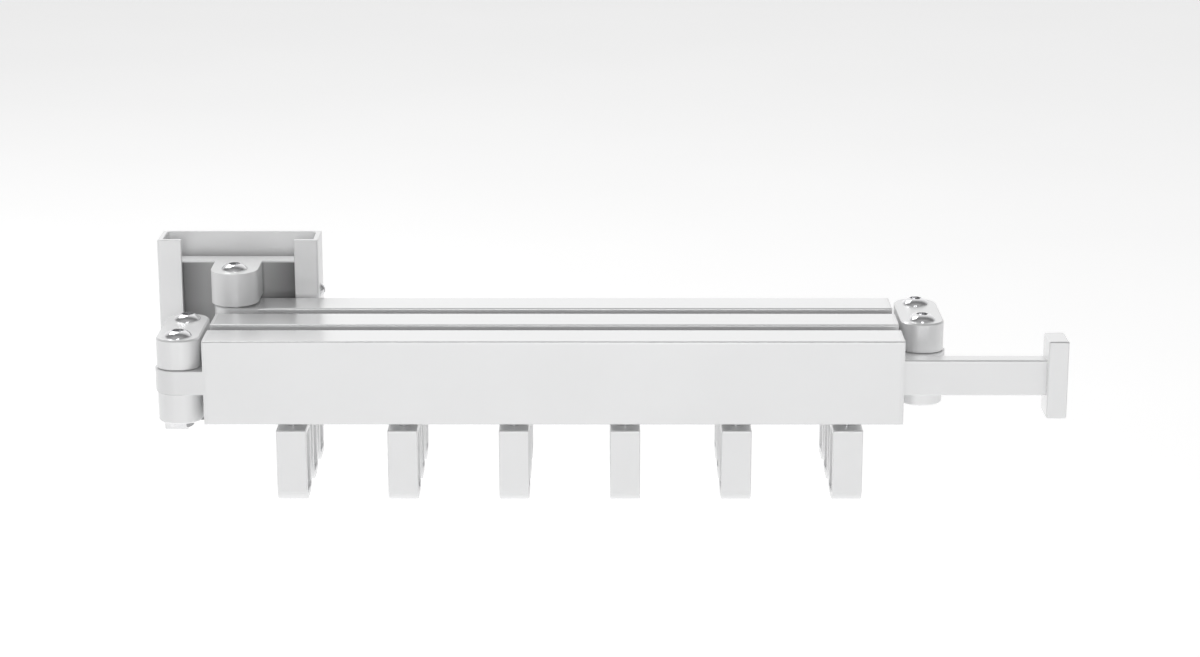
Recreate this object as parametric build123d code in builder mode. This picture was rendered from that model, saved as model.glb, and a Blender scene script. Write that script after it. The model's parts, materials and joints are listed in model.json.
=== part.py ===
from build123d import *
import os

# Wall mounted fold down drying rack: a wall channel with a hinge mount, three
# square-edged aluminium arms joined end to end by two double hinge links, six
# swivelling hanging rings under each arm and a pull-out rod in the last arm.
# Folded flat along the wall. +X along the folded arms, +Z up, wall at Y = 0,
# the rack stands out towards -Y. Origin: centre of the channel's back face.

# ---------------------------------------------------------------- dimensions
arm_h = 40.0            # arm height, Z
arm_d = 20.4            # arm depth, Y
arm_wall = 1.3          # tube wall
arm_edge_r = 0.8        # outside corner radius of the tube
arm_len = 323.0         # end face to end face of one arm
arm_pitch = 29.5        # centre to centre of neighbouring folded arms
pin_to_end = 12.0       # hinge axis to the arm's end face
cap_t = 1.4             # flange of an end fitting
plug_len = 18.0         # how far an end fitting reaches into the tube
plug_gap = 0.1          # plug to tube, each side

pin_y = -33.5           # bracket hinge axis
arm_x0 = -7.0           # left end face of arms 2 and 3
arm_x1 = arm_x0 + arm_len
y1 = pin_y              # centre lines of the three folded arms
y2 = pin_y - arm_pitch
y3 = pin_y - 2 * arm_pitch
pin_left = arm_x0 - pin_to_end      # hinge axes of link 2
pin_right = arm_x1 + pin_to_end     # hinge axes of link 1

tongue_h = 11.5         # tongue height, centred on the arm
tongue_off = 0.9        # tongue nose centre, beyond the hinge axis
bore_r = 5.0            # bore for the bushes
bush_in_r = 4.06
bush_out_r = 4.98
shank_r = 4.0           # hinge bolt shoulder
thread_r = 3.0

link_end = 9.4          # link end face beyond its hinge axes
link_corner_r = 8.9
link_slot = 12.0        # height of the slots for the tongues
link_web = 2.6          # wall between the two slots
link_edge_r = 0.7

head_r = 6.2            # dome head of a hinge bolt
head_h = 2.6
hex_af = 5.0            # hexagon socket
hex_depth = 2.4
nut_af = 10.2
nut_h = 4.2
nut_pocket_af = 10.6    # hexagonal pockets that hold the nuts
bracket_nut_sink = 4.6  # depth of the pocket under the bracket hinge
link_1_nut_sink = 2.9
link_2_nut_sink = 1.0

ch_w = 78.0             # wall channel, width X
ch_h = 96.0             # height Z
ch_d = 21.0             # depth Y
ch_wall = 2.5
ch_lip_t = 3.0
ch_lip_w = 11.6         # from the outside face
ch_corner_r = 1.2
ch_inner_r = 2.2
ch_rim = 0.3            # broken edges of the top and bottom rims
wall_hole_r = 2.75      # wall screw holes
wall_hole_dx = 48.0
wall_hole_dz = 52.0

mount_w = 72.6          # hinge mount plate
mount_y0 = -7.5         # its back face
mount_y1 = -17.7        # its front face
mount_top = 37.0
mount_bot = -44.0
lug_r = 11.3
knuckle_gap = 42.0      # between the upper and the lower knuckle
lug_fillet = 1.3

side_y = -12.0          # side screws
side_z = (21.0, -36.5)
side_head_r = 3.4
side_head_h = 1.9
side_shank_r = 1.97
side_sink_r = 3.4       # countersinks of the two -X side screws

ring_count = 6
ring_x0 = 32.8          # first ring
ring_pitch = 51.6
ring_w = 13.9           # ring width, X
ring_d = 20.0           # ring depth, Y
ring_top = -22.9
ring_h = 34.7
ring_t = 3.0
ring_low_r = 5.5        # outside radius of the lower corners
ring_hole_r = 2.05
rivet_neck_r = 2.0

rod_h = 17.0            # pull rod, Z
rod_t = 9.0             # Y
rod_z = 0.9             # centre height of the rod
rod_x0 = 200.0
rod_x1 = 382.3
rod_edge_r = 0.9
end_t = 9.3             # end plate, X
end_d = 17.0            # Y
end_h = 37.0            # Z
rod_gap = 0.25
guide_len = 14.0

os.makedirs("parts", exist_ok=True)


def ring_xs():
    return [ring_x0 + i * ring_pitch for i in range(ring_count)]


# -------------------------------------------------------------- wall channel
with BuildPart() as wall_channel:
    with BuildSketch(Plane.XY.offset(-ch_h / 2)):
        with BuildLine():
            Polyline(
                (-ch_w / 2, 0), (ch_w / 2, 0), (ch_w / 2, -ch_d),
                (ch_w / 2 - ch_lip_w, -ch_d), (ch_w / 2 - ch_lip_w, -ch_d + ch_lip_t),
                (ch_w / 2 - ch_wall, -ch_d + ch_lip_t), (ch_w / 2 - ch_wall, -ch_wall),
                (-ch_w / 2 + ch_wall, -ch_wall), (-ch_w / 2 + ch_wall, -ch_d + ch_lip_t),
                (-ch_w / 2 + ch_lip_w, -ch_d + ch_lip_t), (-ch_w / 2 + ch_lip_w, -ch_d),
                (-ch_w / 2, -ch_d), (-ch_w / 2, 0),
            )
        make_face()
    extrude(amount=ch_h)
    # rounded outside front corners and inside back corners
    outer = wall_channel.edges().filter_by(Axis.Z).filter_by(
        lambda e: abs(abs(e.center().X) - ch_w / 2) < 0.01 and e.center().Y < -ch_d + 0.01)
    fillet(outer, ch_corner_r)
    inner = wall_channel.edges().filter_by(Axis.Z).filter_by(
        lambda e: abs(abs(e.center().X) - (ch_w / 2 - ch_wall)) < 0.01 and abs(e.center().Y + ch_wall) < 0.01)
    fillet(inner, ch_inner_r)
    lips = wall_channel.edges().filter_by(Axis.Z).filter_by(
        lambda e: abs(abs(e.center().X) - (ch_w / 2 - ch_lip_w)) < 0.01)
    fillet(lips, 0.4)
    rims = wall_channel.faces().filter_by(Axis.Z)
    chamfer([e for f in rims for e in f.edges()], ch_rim)
    # wall screw holes in the back wall
    with Locations(Plane((0, 0, 0), x_dir=(1, 0, 0), z_dir=(0, 1, 0))):
        with GridLocations(wall_hole_dx, wall_hole_dz, 2, 2):
            Hole(wall_hole_r, depth=ch_wall + 1)
    # holes for the side screws, countersunk on the -X side
    for z in side_z:
        with Locations(Plane((ch_w / 2, side_y, z), z_dir=(1, 0, 0))):
            Hole(2.1, depth=ch_wall + 0.5)
        with Locations(Plane((-ch_w / 2, side_y, z), z_dir=(-1, 0, 0))):
            CounterSinkHole(2.1, side_sink_r, depth=ch_wall + 0.5, counter_sink_angle=90)

# ------------------------------------------------- hinge mount with knuckles
with BuildPart() as hinge_mount:
    with BuildSketch(Plane.XY.offset(mount_bot)):
        with Locations((0, (mount_y0 + mount_y1) / 2)):
            Rectangle(mount_w, mount_y0 - mount_y1)
    extrude(amount=mount_top - mount_bot)
    with BuildSketch(Plane.XY.offset(-mount_top)) as lug_profile:
        with Locations((0, pin_y)):
            Circle(lug_r)
        with Locations((0, (pin_y + mount_y1 + 1) / 2)):
            Rectangle(2 * lug_r, abs(pin_y - mount_y1 - 1))
    extrude(amount=2 * mount_top)
    base = hinge_mount.edges().filter_by(Axis.Z).filter_by(
        lambda e: abs(abs(e.center().X) - lug_r) < 0.01 and abs(e.center().Y - mount_y1) < 0.05)
    fillet(base, lug_fillet)
    # the gap that takes the first arm
    with Locations((0, (mount_y1 - 60) / 2, 0)):
        Box(40, 60 + mount_y1, knuckle_gap, mode=Mode.SUBTRACT)
    # bolt hole through both knuckles
    with Locations(Plane((0, pin_y, mount_top))):
        Hole(shank_r + 0.03, depth=2 * mount_top - 8)
        Hole(thread_r + 0.1, depth=2 * mount_top + 1)
    # pocket for the nut in the lower knuckle's underside
    with BuildSketch(Plane.XY.offset(-mount_top)):
        with Locations((0, pin_y)):
            RegularPolygon(nut_pocket_af / 2, 6, major_radius=False)
    extrude(amount=bracket_nut_sink, mode=Mode.SUBTRACT)
    # side screw holes
    for sx in (-1, 1):
        for z in side_z:
            with Locations(Plane((sx * mount_w / 2, side_y, z), z_dir=(sx, 0, 0))):
                Hole(side_shank_r + 0.03, depth=8)

# ------------------------------------------------------------- side screws
# dome heads on the +X side, flat countersunk heads on the -X side
with BuildPart() as dome_screw:
    with BuildSketch(Plane.XZ):
        with BuildLine():
            l1 = Line((0, 0), (0, side_head_h))
            l2 = Line((0, side_head_h), (1.2, side_head_h))
            l3 = ThreePointArc((1.2, side_head_h), (2.6, 1.25), (side_head_r, 0.25))
            l4 = Line((side_head_r, 0.25), (side_head_r, 0))
            l5 = Line((side_head_r, 0), (side_shank_r, 0))
            l6 = Line((side_shank_r, 0), (side_shank_r, -8.5))
            l7 = Line((side_shank_r, -8.5), (0, -8.5))
            l8 = Line((0, -8.5), (0, 0))
        make_face()
    revolve(axis=Axis.Z)
    with BuildSketch(Plane.XY.offset(side_head_h)):
        RegularPolygon(2.5 / 2, 6, major_radius=False)
    extrude(amount=-1.4, mode=Mode.SUBTRACT)

flat_top = -0.15
flat_r = side_sink_r - 0.3
with BuildPart() as flat_screw:
    with BuildSketch(Plane.XZ):
        with BuildLine():
            Polyline(
                (0, flat_top), (flat_r, flat_top), (flat_r, flat_top - 0.05),
                (side_shank_r, flat_top - 0.05 - (flat_r - side_shank_r)),
                (side_shank_r, -8.5), (0, -8.5), (0, flat_top),
            )
        make_face()
    revolve(axis=Axis.Z)
    with BuildSketch(Plane.XY.offset(flat_top)):
        RegularPolygon(2.5 / 2, 6, major_radius=False)
    extrude(amount=-1.3, mode=Mode.SUBTRACT)

side_screws = []
for sx, screw in ((-1, flat_screw), (1, dome_screw)):
    for z in side_z:
        side_screws.append(Plane((sx * ch_w / 2, side_y, z), z_dir=(sx, 0, 0)).location * screw.part)


# ------------------------------------------------------------- hinge bolts
def hinge_bolt(x, y, z_top, shoulder, total):
    """Dome head with a hexagon socket, plain shoulder and threaded end."""
    with BuildPart() as bolt:
        with BuildSketch(Plane.XZ):
            with BuildLine():
                Line((0, head_h), (3.1, head_h))
                ThreePointArc((3.1, head_h), (5.0, 1.62), (head_r, 0.35))
                Line((head_r, 0.35), (head_r, 0))
                Line((head_r, 0), (shank_r, 0))
                Line((shank_r, 0), (shank_r, -shoulder))
                Line((shank_r, -shoulder), (thread_r - 0.03, -shoulder))
                Line((thread_r - 0.03, -shoulder), (thread_r - 0.03, -total + 0.6))
                Line((thread_r - 0.03, -total + 0.6), (thread_r - 0.63, -total))
                Line((thread_r - 0.63, -total), (0, -total))
                Line((0, -total), (0, head_h))
            make_face()
        revolve(axis=Axis.Z)
        with BuildSketch(Plane.XY.offset(head_h)):
            RegularPolygon(hex_af / 2, 6, major_radius=False)
        extrude(amount=-hex_depth, mode=Mode.SUBTRACT)
    return Pos(x, y, z_top) * bolt.part


def hinge_nut(x, y, z_top):
    """Hexagon nut with a rounded lower rim."""
    with BuildPart() as nut:
        with BuildSketch(Plane.XY):
            RegularPolygon(nut_af / 2, 6, major_radius=False)
        extrude(amount=-nut_h)
        with BuildSketch(Plane.XZ):
            with BuildLine():
                Line((0, 0), (5.95, 0))
                Line((5.95, 0), (5.95, -nut_h + 1.3))
                ThreePointArc((5.95, -nut_h + 1.3), (5.57, -nut_h + 0.38), (4.65, -nut_h))
                Line((4.65, -nut_h), (0, -nut_h))
                Line((0, -nut_h), (0, 0))
            make_face()
        revolve(axis=Axis.Z, mode=Mode.INTERSECT)
        with Locations((0, 0, 0)):
            Hole(thread_r, depth=nut_h)
    return Pos(x, y, z_top) * nut.part


def washer(x, y, z0, t, r_in, r_out):
    with BuildPart() as w:
        with BuildSketch(Plane.XY):
            Circle(r_out)
            Circle(r_in, mode=Mode.SUBTRACT)
        extrude(amount=t)
    return Pos(x, y, z0) * w.part


def bush(x, y, z0, length):
    return washer(x, y, z0, length, bush_in_r, bush_out_r)


bracket_bolt = hinge_bolt(0, pin_y, mount_top, 2 * mount_top - 10, 2 * mount_top - bracket_nut_sink + nut_h + 0.2)
bracket_nut = hinge_nut(0, pin_y, -mount_top + bracket_nut_sink)
bracket_washers = [
    washer(0, pin_y, arm_h / 2 + 0.1, knuckle_gap / 2 - arm_h / 2 - 0.1, shank_r + 0.06, 8.2),
    washer(0, pin_y, -knuckle_gap / 2, knuckle_gap / 2 - arm_h / 2 - 0.1, shank_r + 0.06, 8.2),
]


# ------------------------------------------------------------------- arms
def arm_tube(x_from, x_to, y):
    """Rectangular tube, open at both ends, with the rivet holes below."""
    with BuildPart() as tube:
        with BuildSketch(Plane.YZ.offset(x_from)):
            with Locations((y, 0)):
                RectangleRounded(arm_d, arm_h, arm_edge_r)
                RectangleRounded(arm_d - 2 * arm_wall, arm_h - 2 * arm_wall, 0.4, mode=Mode.SUBTRACT)
        extrude(amount=x_to - x_from)
        with Locations([(x, y, -arm_h / 2 + arm_wall / 2) for x in ring_xs()]):
            Cylinder(rivet_neck_r + 0.03, arm_wall + 0.4, mode=Mode.SUBTRACT)
    return tube.part


def link_fitting(x_end, side, y):
    """End fitting with flange, plug and hinge tongue. side +1: right end."""
    px = x_end + side * pin_to_end
    with BuildPart() as fit:
        # flange that covers the tube's end
        with BuildSketch(Plane.YZ.offset(x_end)):
            with Locations((y, 0)):
                RectangleRounded(arm_d, arm_h, arm_edge_r)
        extrude(amount=-side * cap_t)
        # plug inside the tube, hollowed at its back
        with BuildSketch(Plane.YZ.offset(x_end - side * cap_t)):
            with Locations((y, 0)):
                RectangleRounded(arm_d - 2 * arm_wall - 2 * plug_gap, arm_h - 2 * arm_wall - 2 * plug_gap, 0.5)
        extrude(amount=-side * plug_len)
        with BuildSketch(Plane.YZ.offset(x_end - side * (cap_t + plug_len))):
            with Locations((y, 0)):
                RectangleRounded(arm_d - 2 * arm_wall - 6, arm_h - 2 * arm_wall - 6, 1.5)
        extrude(amount=side * (plug_len - 4), mode=Mode.SUBTRACT)
        # tongue with a round nose
        with BuildSketch(Plane.XY.offset(-tongue_h / 2)):
            with Locations((px + side * tongue_off, y)):
                Circle(arm_d / 2)
            with Locations(((px + side * tongue_off + x_end) / 2, y)):
                Rectangle(pin_to_end + tongue_off, arm_d)
        extrude(amount=tongue_h)
        with Locations((px, y, 0)):
            Cylinder(bore_r, tongue_h + 2, mode=Mode.SUBTRACT)
        nose = fit.edges().filter_by(GeomType.CIRCLE).filter_by(
            lambda e: abs(e.radius - arm_d / 2) < 0.01)
        chamfer(nose, 0.35)
    return fit.part


arm_1_tube = arm_tube(pin_to_end, arm_x1 - cap_t, y1)
arm_2_tube = arm_tube(arm_x0 + cap_t, arm_x1 - cap_t, y2)
arm_3_tube = arm_tube(arm_x0 + cap_t, arm_x1 - cap_t, y3)

with BuildPart() as arm_1_wall_end:
    # full-height barrel that turns between the two knuckles
    with BuildSketch(Plane.XY.offset(-arm_h / 2)):
        with Locations((0, y1)):
            Circle(arm_d / 2)
        with Locations((pin_to_end / 2, y1)):
            Rectangle(pin_to_end, arm_d)
    extrude(amount=arm_h)
    nose = arm_1_wall_end.edges().filter_by(GeomType.CIRCLE)
    chamfer(nose, 0.4)
    with BuildSketch(Plane.YZ.offset(pin_to_end)):
        with Locations((y1, 0)):
            RectangleRounded(arm_d - 2 * arm_wall - 2 * plug_gap, arm_h - 2 * arm_wall - 2 * plug_gap, 0.5)
    extrude(amount=plug_len - 3)
    with Locations((0, y1, 0)):
        Cylinder(bore_r, arm_h + 2, mode=Mode.SUBTRACT)

arm_1_link_end = link_fitting(arm_x1, 1, y1)
arm_2_inner_end = link_fitting(arm_x1, 1, y2)
arm_2_outer_end = link_fitting(arm_x0, -1, y2)
arm_3_inner_end = link_fitting(arm_x0, -1, y3)

arm_1_bushes = [
    bush(0, y1, arm_h / 2 - 12, 12),
    bush(0, y1, -arm_h / 2, 12),
    bush(pin_right, y1, -tongue_h / 2, tongue_h),
]
arm_2_bushes = [
    bush(pin_right, y2, -tongue_h / 2, tongue_h),
    bush(pin_left, y2, -tongue_h / 2, tongue_h),
]
arm_3_bush = [bush(pin_left, y3, -tongue_h / 2, tongue_h)]

# end cap of the last arm, with the slot that the pull rod slides through
with BuildPart() as arm_3_end_cap:
    with BuildSketch(Plane.YZ.offset(arm_x1 - cap_t)):
        with Locations((y3, 0)):
            RectangleRounded(arm_d, arm_h, arm_edge_r)
    extrude(amount=cap_t)
    with BuildSketch(Plane.YZ.offset(arm_x1 - cap_t - 5)):
        with Locations((y3, 0)):
            RectangleRounded(arm_d - 2 * arm_wall - 2 * plug_gap, arm_h - 2 * arm_wall - 2 * plug_gap, 0.5)
    extrude(amount=5)
    with BuildSketch(Plane.YZ.offset(arm_x1 - 20)):
        with Locations((y3, rod_z)):
            RectangleRounded(rod_t + 2 * rod_gap, rod_h + 2 * rod_gap, rod_edge_r + rod_gap)
    extrude(amount=30, mode=Mode.SUBTRACT)

# nylon guide sleeve behind the end cap
with BuildPart() as rod_guide:
    with BuildSketch(Plane.YZ.offset(arm_x1 - cap_t - 5 - guide_len)):
        with Locations((y3, 0)):
            RectangleRounded(arm_d - 2 * arm_wall - 2 * plug_gap, arm_h - 2 * arm_wall - 2 * plug_gap, 0.5)
        with Locations((y3, rod_z)):
            RectangleRounded(rod_t + 2 * rod_gap, rod_h + 2 * rod_gap, rod_edge_r + rod_gap, mode=Mode.SUBTRACT)
    extrude(amount=guide_len)


# ------------------------------------------------------------------- links
def link_block(px, ya, yb, nut_sink):
    """Double hinge block: two slots, one for each arm's tongue."""
    yc = (ya + yb) / 2
    length = abs(ya - yb) + 2 * link_end
    with BuildPart() as block:
        with BuildSketch(Plane.XY.offset(-arm_h / 2)):
            with Locations((px, yc)):
                RectangleRounded(arm_d, length, link_corner_r)
        extrude(amount=arm_h)
        rims = block.faces().filter_by(Axis.Z)
        chamfer([e for f in rims for e in f.edges()], link_edge_r)
        for s in (-1, 1):
            with Locations((px, yc + s * (link_web / 2 + 20), 0)):
                Box(arm_d + 4, 40, link_slot, mode=Mode.SUBTRACT)
        for yy in (ya, yb):
            with Locations(Plane((px, yy, arm_h / 2))):
                Hole(shank_r + 0.03, depth=arm_h - 6)
                Hole(thread_r + 0.1, depth=arm_h + 1)
        # hexagonal pockets for the nuts
        with BuildSketch(Plane.XY.offset(-arm_h / 2)):
            with Locations((px, ya), (px, yb)):
                RegularPolygon(nut_pocket_af / 2, 6, major_radius=False)
        extrude(amount=nut_sink, mode=Mode.SUBTRACT)
    return block.part


def link_bolt(px, y, nut_sink):
    return hinge_bolt(px, y, arm_h / 2, arm_h - 8, arm_h - nut_sink + nut_h + 0.3)


def link_nut(px, y, nut_sink):
    return hinge_nut(px, y, -arm_h / 2 + nut_sink)


link_1_block = link_block(pin_right, y1, y2, link_1_nut_sink)
link_2_block = link_block(pin_left, y2, y3, link_2_nut_sink)
link_1_bolts = [link_bolt(pin_right, y, link_1_nut_sink) for y in (y1, y2)]
link_2_bolts = [link_bolt(pin_left, y, link_2_nut_sink) for y in (y2, y3)]
link_1_nuts = [link_nut(pin_right, y, link_1_nut_sink) for y in (y1, y2)]
link_2_nuts = [link_nut(pin_left, y, link_2_nut_sink) for y in (y2, y3)]


# ------------------------------------------------------------------ rings
def ring_rivet(x, y):
    """Swivel rivet: flared head inside the tube, stem, neck and lower head."""
    zb = -arm_h / 2
    with BuildPart() as rivet:
        with BuildSketch(Plane.XZ):
            with BuildLine():
                Polyline(
                    (0, zb + arm_wall + 1.1), (2.2, zb + arm_wall + 1.1), (3.1, zb + arm_wall + 0.5),
                    (3.1, zb + arm_wall), (rivet_neck_r, zb + arm_wall), (rivet_neck_r, zb),
                    (2.6, zb), (2.6, ring_top + 0.1), (rivet_neck_r, ring_top + 0.1),
                    (rivet_neck_r, ring_top - ring_t - 0.1), (3.4, ring_top - ring_t - 0.1),
                    (3.4, ring_top - ring_t - 0.6), (2.2, ring_top - ring_t - 1.3),
                    (0, ring_top - ring_t - 1.3), (0, zb + arm_wall + 1.1),
                )
            make_face()
        revolve(axis=Axis.Z)
    return Pos(x, y, 0) * rivet.part


def hanging_ring(x, y):
    """One slice of an open loop profile, opening along X."""
    zc = ring_top - ring_h / 2
    with BuildPart() as ring:
        with BuildSketch(Plane.YZ.offset(-ring_w / 2)):
            Rectangle(ring_d, ring_h)
            Rectangle(ring_d - 2 * ring_t, ring_h - 2 * ring_t, mode=Mode.SUBTRACT)
        extrude(amount=ring_w)
        along = ring.edges().filter_by(Axis.X)
        low_out = along.filter_by(lambda e: e.center().Z < -ring_h / 2 + 0.1)
        fillet(low_out, ring_low_r)
        low_in = ring.edges().filter_by(Axis.X).filter_by(
            lambda e: abs(e.center().Z + ring_h / 2 - ring_t) < 0.1 and abs(abs(e.center().Y) - ring_d / 2 + ring_t) < 0.1)
        fillet(low_in, ring_low_r - ring_t)
        top_out = ring.edges().filter_by(Axis.X).filter_by(
            lambda e: e.center().Z > ring_h / 2 - 0.1)
        fillet(top_out, 0.8)
        top_in = ring.edges().filter_by(Axis.X).filter_by(
            lambda e: abs(e.center().Z - ring_h / 2 + ring_t) < 0.1 and abs(abs(e.center().Y) - ring_d / 2 + ring_t) < 0.1)
        fillet(top_in, 0.8)
        sides = ring.faces().filter_by(Axis.X)
        chamfer([e for f in sides for e in f.edges()], 0.35)
        with Locations((0, 0, ring_h / 2 - ring_t / 2)):
            Cylinder(ring_hole_r, ring_t + 1, mode=Mode.SUBTRACT)
    return Pos(x, y, zc) * ring.part


# --------------------------------------------------------------- pull rod
with BuildPart() as pull_rod:
    with BuildSketch(Plane.YZ.offset(rod_x0)):
        with Locations((y3, rod_z)):
            RectangleRounded(rod_t, rod_h, rod_edge_r)
    extrude(amount=rod_x1 - rod_x0)
    with Locations(Plane((rod_x1, y3, rod_z), z_dir=(1, 0, 0))):
        Hole(2.0, depth=18)
    with Locations(Plane((rod_x0, y3, rod_z), z_dir=(-1, 0, 0))):
        Hole(2.0, depth=14)

with BuildPart() as rod_end_plate:
    with BuildSketch(Plane.YZ.offset(rod_x1)):
        with Locations((y3, rod_z)):
            RectangleRounded(end_d, end_h, 0.9)
    extrude(amount=end_t)
    flat = rod_end_plate.faces().filter_by(Axis.X)
    chamfer([e for f in flat for e in f.edges()], 0.5)
    with Locations(Plane((rod_x1 + end_t, y3, rod_z), z_dir=(1, 0, 0))):
        CounterSinkHole(2.15, 4.2, depth=end_t + 1, counter_sink_angle=90)

with BuildPart() as end_plate_screw:
    with BuildSketch(Plane.XZ):
        with BuildLine():
            Polyline((0, -0.3), (3.5, -0.3), (3.5, -0.6), (1.97, -2.13), (1.97, -24), (0, -24), (0, -0.3))
        make_face()
    revolve(axis=Axis.Z)
    with BuildSketch(Plane.XY.offset(-0.3)):
        RegularPolygon(1.25, 6, major_radius=False)
    extrude(amount=-1.6, mode=Mode.SUBTRACT)
end_screw = Plane((rod_x1 + end_t, y3, rod_z), z_dir=(1, 0, 0)).location * end_plate_screw.part

# stop block on the rod's inner end, clear of the rivet heads below it
stop_z0, stop_z1 = -16.0, 18.3
with BuildPart() as rod_stop:
    with BuildSketch(Plane.YZ.offset(rod_x0 - 8)):
        with Locations((y3, (stop_z0 + stop_z1) / 2)):
            RectangleRounded(arm_d - 2 * arm_wall - 0.7, stop_z1 - stop_z0, 1.0)
    extrude(amount=8)
    with Locations(Plane((rod_x0 - 8, y3, rod_z), z_dir=(-1, 0, 0))):
        CounterBoreHole(2.15, 3.8, 2.6, depth=9)

with BuildPart() as rod_stop_screw:
    with BuildSketch(Plane.XZ):
        with BuildLine():
            Polyline((0, 0), (3.5, 0), (3.5, -2.4), (1.97, -2.4), (1.97, -18), (0, -18), (0, 0))
        make_face()
    revolve(axis=Axis.Z)
    with BuildSketch(Plane.XY):
        RegularPolygon(1.5, 6, major_radius=False)
    extrude(amount=-1.6, mode=Mode.SUBTRACT)
stop_screw = Plane((rod_x0 - 8 + 0.2, y3, rod_z), z_dir=(-1, 0, 0)).location * rod_stop_screw.part


# ------------------------------------------------------------------ output
def write(shape, name):
    if isinstance(shape, list):
        shape = Compound(children=[s if isinstance(s, Solid) else s.solid() for s in shape])
    shape.label = name
    export_step(shape, "parts/" + name + ".step")


wall_channel.part.label = "wall_channel"
export_step(wall_channel.part, "parts/wall_channel.step")
hinge_mount.part.label = "hinge_mount"
export_step(hinge_mount.part, "parts/hinge_mount.step")
write(side_screws, "bracket_side_screws")
write(bracket_bolt, "bracket_hinge_bolt")
write(bracket_nut, "bracket_hinge_nut")
write(bracket_washers, "bracket_hinge_washers")

write(arm_1_tube, "arm_1_tube")
arm_1_wall_end.part.label = "arm_1_wall_end"
export_step(arm_1_wall_end.part, "parts/arm_1_wall_end.step")
write(arm_1_link_end, "arm_1_link_end")
write(arm_1_bushes, "arm_1_bushes")
write([ring_rivet(x, y1) for x in ring_xs()], "arm_1_ring_rivets")

write(link_1_block, "link_1_block")
write(link_1_bolts, "link_1_hinge_bolts")
write(link_1_nuts, "link_1_hinge_nuts")

write(arm_2_tube, "arm_2_tube")
write(arm_2_inner_end, "arm_2_inner_end")
write(arm_2_outer_end, "arm_2_outer_end")
write(arm_2_bushes, "arm_2_bushes")
write([ring_rivet(x, y2) for x in ring_xs()], "arm_2_ring_rivets")

write(link_2_block, "link_2_block")
write(link_2_bolts, "link_2_hinge_bolts")
write(link_2_nuts, "link_2_hinge_nuts")

write(arm_3_tube, "arm_3_tube")
write(arm_3_inner_end, "arm_3_inner_end")
arm_3_end_cap.part.label = "arm_3_end_cap"
export_step(arm_3_end_cap.part, "parts/arm_3_end_cap.step")
write(arm_3_bush, "arm_3_bush")
write([ring_rivet(x, y3) for x in ring_xs()], "arm_3_ring_rivets")
rod_guide.part.label = "rod_guide"
export_step(rod_guide.part, "parts/rod_guide.step")

pull_rod.part.label = "pull_rod"
export_step(pull_rod.part, "parts/pull_rod.step")
rod_end_plate.part.label = "rod_end_plate"
export_step(rod_end_plate.part, "parts/rod_end_plate.step")
write(end_screw, "end_plate_screw")
rod_stop.part.label = "rod_stop"
export_step(rod_stop.part, "parts/rod_stop.step")
write(stop_screw, "rod_stop_screw")

for a, y in ((1, y1), (2, y2), (3, y3)):
    for i, x in enumerate(ring_xs()):
        write(hanging_ring(x, y), "ring_%d_%d" % (a, i + 1))
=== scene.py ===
import json
import math

import bpy
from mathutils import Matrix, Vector

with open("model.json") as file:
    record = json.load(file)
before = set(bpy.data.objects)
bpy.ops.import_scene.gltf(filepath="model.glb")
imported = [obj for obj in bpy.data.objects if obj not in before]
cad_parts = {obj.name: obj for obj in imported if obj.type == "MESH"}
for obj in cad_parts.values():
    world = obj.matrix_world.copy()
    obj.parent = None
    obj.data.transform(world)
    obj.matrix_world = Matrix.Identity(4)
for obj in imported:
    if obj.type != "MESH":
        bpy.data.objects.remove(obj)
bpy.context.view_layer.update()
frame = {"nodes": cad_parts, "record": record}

scene = bpy.context.scene


# ------------------------------------------------------------ material tools
def new_material(name):
    mat = bpy.data.materials.new(name)
    mat.use_nodes = True
    tree = mat.node_tree
    tree.nodes.clear()
    out = tree.nodes.new("ShaderNodeOutputMaterial")
    bsdf = tree.nodes.new("ShaderNodeBsdfPrincipled")
    tree.links.new(bsdf.outputs["BSDF"], out.inputs["Surface"])
    return mat, tree, bsdf


def coords(tree, scale, loc=(0, 0, 0)):
    tc = tree.nodes.new("ShaderNodeTexCoord")
    mp = tree.nodes.new("ShaderNodeMapping")
    mp.inputs["Scale"].default_value = scale
    mp.inputs["Location"].default_value = loc
    tree.links.new(tc.outputs["Object"], mp.inputs["Vector"])
    return mp.outputs["Vector"]


def noise(tree, vec, scale=1.0, detail=3.0, rough=0.55, distort=0.0):
    n = tree.nodes.new("ShaderNodeTexNoise")
    n.inputs["Scale"].default_value = scale
    n.inputs["Detail"].default_value = detail
    n.inputs["Roughness"].default_value = rough
    n.inputs["Distortion"].default_value = distort
    tree.links.new(vec, n.inputs["Vector"])
    return n.outputs["Fac"]


def remap(tree, val, lo, hi, a=0.3, b=0.7):
    m = tree.nodes.new("ShaderNodeMapRange")
    m.inputs["From Min"].default_value = a
    m.inputs["From Max"].default_value = b
    m.inputs["To Min"].default_value = lo
    m.inputs["To Max"].default_value = hi
    tree.links.new(val, m.inputs["Value"])
    return m.outputs["Result"]


def ramp(tree, val, c0, c1, a=0.3, b=0.7):
    r = tree.nodes.new("ShaderNodeValToRGB")
    r.color_ramp.elements[0].position = a
    r.color_ramp.elements[0].color = (*c0, 1)
    r.color_ramp.elements[1].position = b
    r.color_ramp.elements[1].color = (*c1, 1)
    tree.links.new(val, r.inputs["Fac"])
    return r.outputs["Color"]


def bump(tree, height, strength, distance, normal=None):
    b = tree.nodes.new("ShaderNodeBump")
    b.inputs["Strength"].default_value = strength
    b.inputs["Distance"].default_value = distance
    tree.links.new(height, b.inputs["Height"])
    if normal is not None:
        tree.links.new(normal, b.inputs["Normal"])
    return b.outputs["Normal"]


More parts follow.
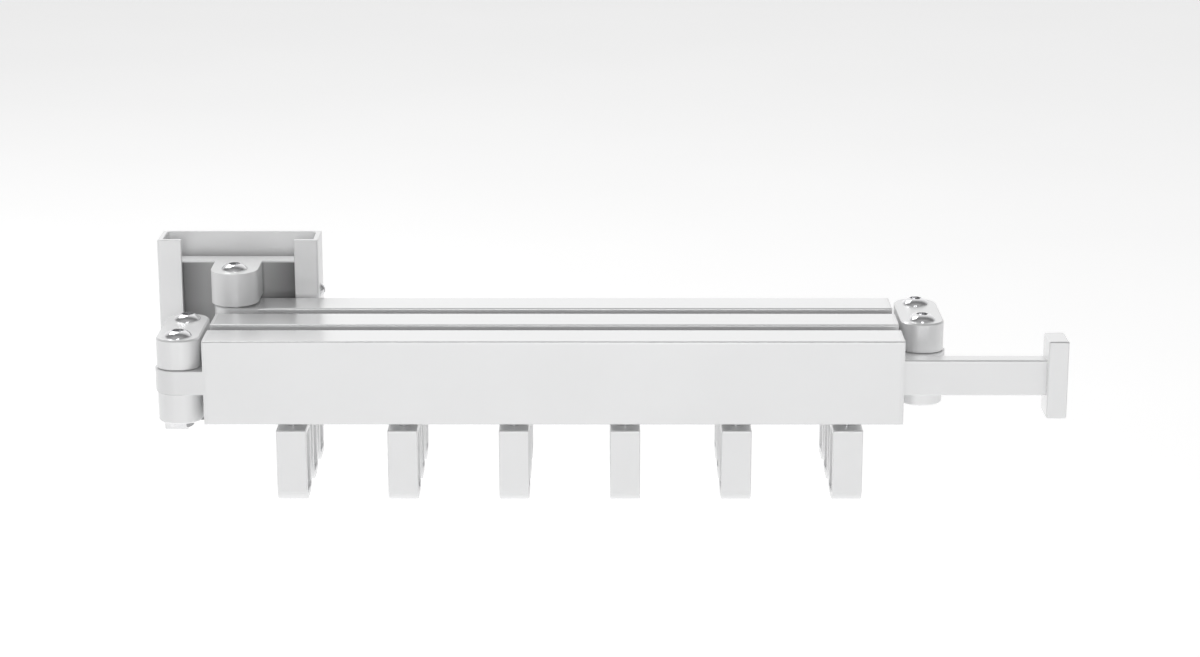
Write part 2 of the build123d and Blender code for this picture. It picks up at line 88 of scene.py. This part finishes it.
def satin(name, col, rough=0.36, metallic=0.3, coat=0.6, grain=(18, 900, 900), spread=0.008, grain_strength=0.05, tone=None):
    """Satin anodised aluminium with a fine lengthwise grain and slight tone variation."""
    mat, tree, bsdf = new_material(name)
    cloud = noise(tree, coords(tree, (1, 1, 1)), scale=26, detail=4)
    dark = tuple(max(0.0, c - spread) for c in col)
    light = tuple(min(1.0, c + spread) for c in col)
    color = ramp(tree, cloud, dark, light)
    if tone is not None:
        color = tone(tree, color)
    tree.links.new(color, bsdf.inputs["Base Color"])
    lines = noise(tree, coords(tree, grain), scale=1.0, detail=5, rough=0.65)
    tree.links.new(remap(tree, lines, rough - 0.025, rough + 0.025), bsdf.inputs["Roughness"])
    pits = noise(tree, coords(tree, (1, 1, 1), (3.1, 1.7, 0.4)), scale=2600, detail=2)
    n1 = bump(tree, pits, 0.12, 0.00003)
    tree.links.new(bump(tree, lines, grain_strength, 0.00003, n1), bsdf.inputs["Normal"])
    bsdf.inputs["Metallic"].default_value = metallic
    bsdf.inputs["Coat Weight"].default_value = coat
    bsdf.inputs["Coat Roughness"].default_value = 0.2
    return mat


def step(tree, val, a, b):
    """0 below a, 1 above b, smooth between."""
    m = tree.nodes.new("ShaderNodeMapRange")
    m.interpolation_type = "SMOOTHSTEP"
    m.inputs["From Min"].default_value = a
    m.inputs["From Max"].default_value = b
    tree.links.new(val, m.inputs["Value"])
    return m.outputs["Result"]


def times(tree, a, b):
    m = tree.nodes.new("ShaderNodeMath")
    m.operation = "MULTIPLY"
    tree.links.new(a, m.inputs[0])
    tree.links.new(b, m.inputs[1])
    return m.outputs["Value"]


def plate_painted_shade(tree, color):
    """Painted shade on the mount's plate: its face is darkened towards a dark grey, more towards the lips and less
    beside the lug; its top edge and the knuckles are left bright.
    """
    tc = tree.nodes.new("ShaderNodeTexCoord")
    sep = tree.nodes.new("ShaderNodeSeparateXYZ")
    tree.links.new(tc.outputs["Object"], sep.inputs["Vector"])
    on_plate = step(tree, sep.outputs["Y"], -0.0192, -0.0182)
    m = tree.nodes.new("ShaderNodeMapRange")
    m.interpolation_type = "SMOOTHSTEP"
    m.inputs["From Min"].default_value = 0.0358
    m.inputs["From Max"].default_value = 0.0368
    m.inputs["To Min"].default_value = 1.0
    m.inputs["To Max"].default_value = 0.0
    tree.links.new(sep.outputs["Z"], m.inputs["Value"])
    plate_shade_mask = times(tree, on_plate, m.outputs["Result"])
    ax = tree.nodes.new("ShaderNodeMath")
    ax.operation = "ABSOLUTE"
    tree.links.new(sep.outputs["X"], ax.inputs[0])
    # painted shade: the plate gets darker away from the lug, towards the lips that shade it
    shade_toward_lips = tree.nodes.new("ShaderNodeMapRange")
    shade_toward_lips.inputs["From Min"].default_value = 0.011
    shade_toward_lips.inputs["From Max"].default_value = 0.027
    shade_toward_lips.inputs["To Min"].default_value = 0.6
    shade_toward_lips.inputs["To Max"].default_value = 1.0
    tree.links.new(ax.outputs["Value"], shade_toward_lips.inputs["Value"])
    plate_shade_mask = times(tree, plate_shade_mask, shade_toward_lips.outputs["Result"])
    mix = tree.nodes.new("ShaderNodeMix")
    mix.data_type = "RGBA"
    tree.links.new(plate_shade_mask, mix.inputs["Factor"])
    tree.links.new(color, mix.inputs[6])
    # dark grey of the painted shade on the plate
    mix.inputs[7].default_value = (0.16, 0.16, 0.162, 1)
    return mix.outputs[2]


def polished(name, col, rough=0.1):
    """Bright plated steel with faint turning marks."""
    mat, tree, bsdf = new_material(name)
    cloud = noise(tree, coords(tree, (1, 1, 1)), scale=300, detail=3)
    tree.links.new(ramp(tree, cloud, tuple(c - 0.03 for c in col), col), bsdf.inputs["Base Color"])
    marks = noise(tree, coords(tree, (1, 1, 6)), scale=900, detail=4, rough=0.6)
    tree.links.new(remap(tree, marks, rough - 0.03, rough + 0.05), bsdf.inputs["Roughness"])
    tree.links.new(bump(tree, marks, 0.06, 0.00002), bsdf.inputs["Normal"])
    bsdf.inputs["Metallic"].default_value = 0.85
    return mat


def plastic(name, col, rough=0.5):
    mat, tree, bsdf = new_material(name)
    cloud = noise(tree, coords(tree, (1, 1, 1)), scale=120, detail=4)
    tree.links.new(ramp(tree, cloud, tuple(c * 0.9 for c in col), tuple(min(1, c * 1.08) for c in col)), bsdf.inputs["Base Color"])
    fine = noise(tree, coords(tree, (1, 1, 1), (0.7, 0.2, 0.1)), scale=1800, detail=3)
    tree.links.new(remap(tree, fine, rough - 0.08, rough + 0.08), bsdf.inputs["Roughness"])
    tree.links.new(bump(tree, fine, 0.25, 0.00004), bsdf.inputs["Normal"])
    return mat


mats = {
    "arm_metal": satin("arm_metal", (0.79, 0.792, 0.795), rough=0.30, metallic=0.6, coat=1.0, grain_strength=0.015),
    "fitting_metal": satin("fitting_metal", (0.81, 0.812, 0.815), metallic=0.4, coat=0.5, grain=(300, 300, 300)),
    "link_metal": satin("link_metal", (0.87, 0.872, 0.875), metallic=0.3, coat=0.5, grain=(300, 300, 900)),
    "channel_metal": satin("channel_metal", (0.94, 0.942, 0.945), rough=0.4, metallic=0.2, coat=0.35, grain=(900, 900, 20)),
    # the mount's plate face carries painted shade
    "mount_metal": satin("mount_metal", (0.93, 0.932, 0.935), rough=0.42, metallic=0.15, coat=0.25, grain=(900, 900, 20), tone=plate_painted_shade),
    "rod_metal": satin("rod_metal", (0.82, 0.822, 0.825), metallic=0.5, coat=0.8, grain_strength=0.02),
    "ring_metal": satin("ring_metal", (0.83, 0.832, 0.835), metallic=0.45, coat=0.5, grain=(20, 900, 900)),
    "screw_chrome": polished("screw_chrome", (0.80, 0.80, 0.81), 0.09),
    "washer_steel": polished("washer_steel", (0.62, 0.62, 0.63), 0.28),
    "rivet_steel": polished("rivet_steel", (0.66, 0.66, 0.67), 0.30),
    "bush_plastic": plastic("bush_plastic", (0.42, 0.42, 0.43)),
    "guide_plastic": plastic("guide_plastic", (0.05, 0.05, 0.055)),
}

slot_of = {s["node"]: s["material_slot"] for s in frame["record"]["subparts"]}
for node, obj in frame["nodes"].items():
    mat = mats[slot_of[node]]
    if not obj.material_slots:
        obj.data.materials.append(mat)
    for s in obj.material_slots:
        s.material = mat


# -------------------------------------------------------------------- stage
def plane(name, size, loc, rot=(0, 0, 0)):
    me = bpy.data.meshes.new(name)
    h = size / 2
    me.from_pydata([(-h, -h, 0), (h, -h, 0), (h, h, 0), (-h, h, 0)], [], [(0, 1, 2, 3)])
    ob = bpy.data.objects.new(name, me)
    ob.location = loc
    ob.rotation_euler = rot
    scene.collection.objects.link(ob)
    return ob


floor = plane("floor", 12.0, (0.18, -0.1, -0.32))
fmat, ftree, fb = new_material("floor_paper")
fcloud = noise(ftree, coords(ftree, (1, 1, 1)), scale=3, detail=2)
ftree.links.new(ramp(ftree, fcloud, (0.93, 0.93, 0.93), (0.95, 0.95, 0.95)), fb.inputs["Base Color"])
fb.inputs["Roughness"].default_value = 0.9
fb.inputs["Emission Color"].default_value = (1, 1, 1, 1)
fb.inputs["Emission Strength"].default_value = 0.40
fb.inputs["Specular IOR Level"].default_value = 0.1
floor.data.materials.append(fmat)

# ------------------------------------------------------------------- lights
world = bpy.data.worlds.new("studio")
scene.world = world
world.use_nodes = True
wt = world.node_tree
wt.nodes.clear()
wout = wt.nodes.new("ShaderNodeOutputWorld")
wbg = wt.nodes.new("ShaderNodeBackground")
# brightest low down behind the object, a dark gap overhead, dimmer at the sides and in front
wtc = wt.nodes.new("ShaderNodeTexCoord")
wdot = wt.nodes.new("ShaderNodeVectorMath")
wdot.operation = "DOT_PRODUCT"
wdot.inputs[1].default_value = (0.0, 0.94, 0.34)
wt.links.new(wtc.outputs["Generated"], wdot.inputs[0])
wmap = wt.nodes.new("ShaderNodeMapRange")
wmap.inputs["From Min"].default_value = -1.0
wmap.inputs["From Max"].default_value = 1.0
wt.links.new(wdot.outputs["Value"], wmap.inputs["Value"])
wramp = wt.nodes.new("ShaderNodeValToRGB")
els = wramp.color_ramp.elements
els[0].position = 0.22
els[0].color = (0.17, 0.17, 0.17, 1)
els[1].position = 0.96
els[1].color = (1, 1, 1, 1)
for pos, val in ((0.45, 0.40), (0.60, 0.20), (0.74, 0.16), (0.88, 0.72)):
    e = els.new(pos)
    e.color = (val, val, val, 1)
wt.links.new(wmap.outputs["Result"], wramp.inputs["Fac"])
wt.links.new(wramp.outputs["Color"], wbg.inputs["Color"])
wbg.inputs["Strength"].default_value = 1.1
# a plain pale wall is what shows past the floor's edge
wpale = wt.nodes.new("ShaderNodeBackground")
wpale.inputs["Color"].default_value = (0.86, 0.86, 0.86, 1)
wpath = wt.nodes.new("ShaderNodeLightPath")
wmix = wt.nodes.new("ShaderNodeMixShader")
wt.links.new(wpath.outputs["Is Camera Ray"], wmix.inputs["Fac"])
wt.links.new(wbg.outputs["Background"], wmix.inputs[1])
wt.links.new(wpale.outputs["Background"], wmix.inputs[2])
wt.links.new(wmix.outputs["Shader"], wout.inputs["Surface"])


def area(name, loc, target, size, power, size_y=None):
    ld = bpy.data.lights.new(name, "AREA")
    ld.energy = power
    ld.size = size
    if size_y:
        ld.shape = "RECTANGLE"
        ld.size_y = size_y
    ob = bpy.data.objects.new(name, ld)
    ob.location = loc
    d = Vector(target) - Vector(loc)
    ob.rotation_euler = d.to_track_quat("-Z", "Y").to_euler()
    scene.collection.objects.link(ob)
    return ob


area("key", (-0.75, 0.85, 1.6), (0.17, -0.06, 0), 1.0, 14)
area("front", (0.2, -2.3, 0.48), (0.17, -0.06, 0), 1.0, 10, 0.5)

# ------------------------------------------------------------------- camera
cam_data = bpy.data.cameras.new("camera")
cam = bpy.data.objects.new("camera", cam_data)
scene.collection.objects.link(cam)
cam_data.sensor_fit = "HORIZONTAL"
cam_data.sensor_width = 36.0
cam_data.lens = 2729.9 / 1200 * 36.0
cam_data.clip_start = 0.05
cam_data.clip_end = 40
cam_data.dof.use_dof = False
cam.location = (0.1768, -1.3075, 0.3579)
cam.rotation_euler = (math.radians(90 - 15.39), 0.0, math.radians(0.042))
scene.camera = cam

scene.view_settings.view_transform = "Standard"
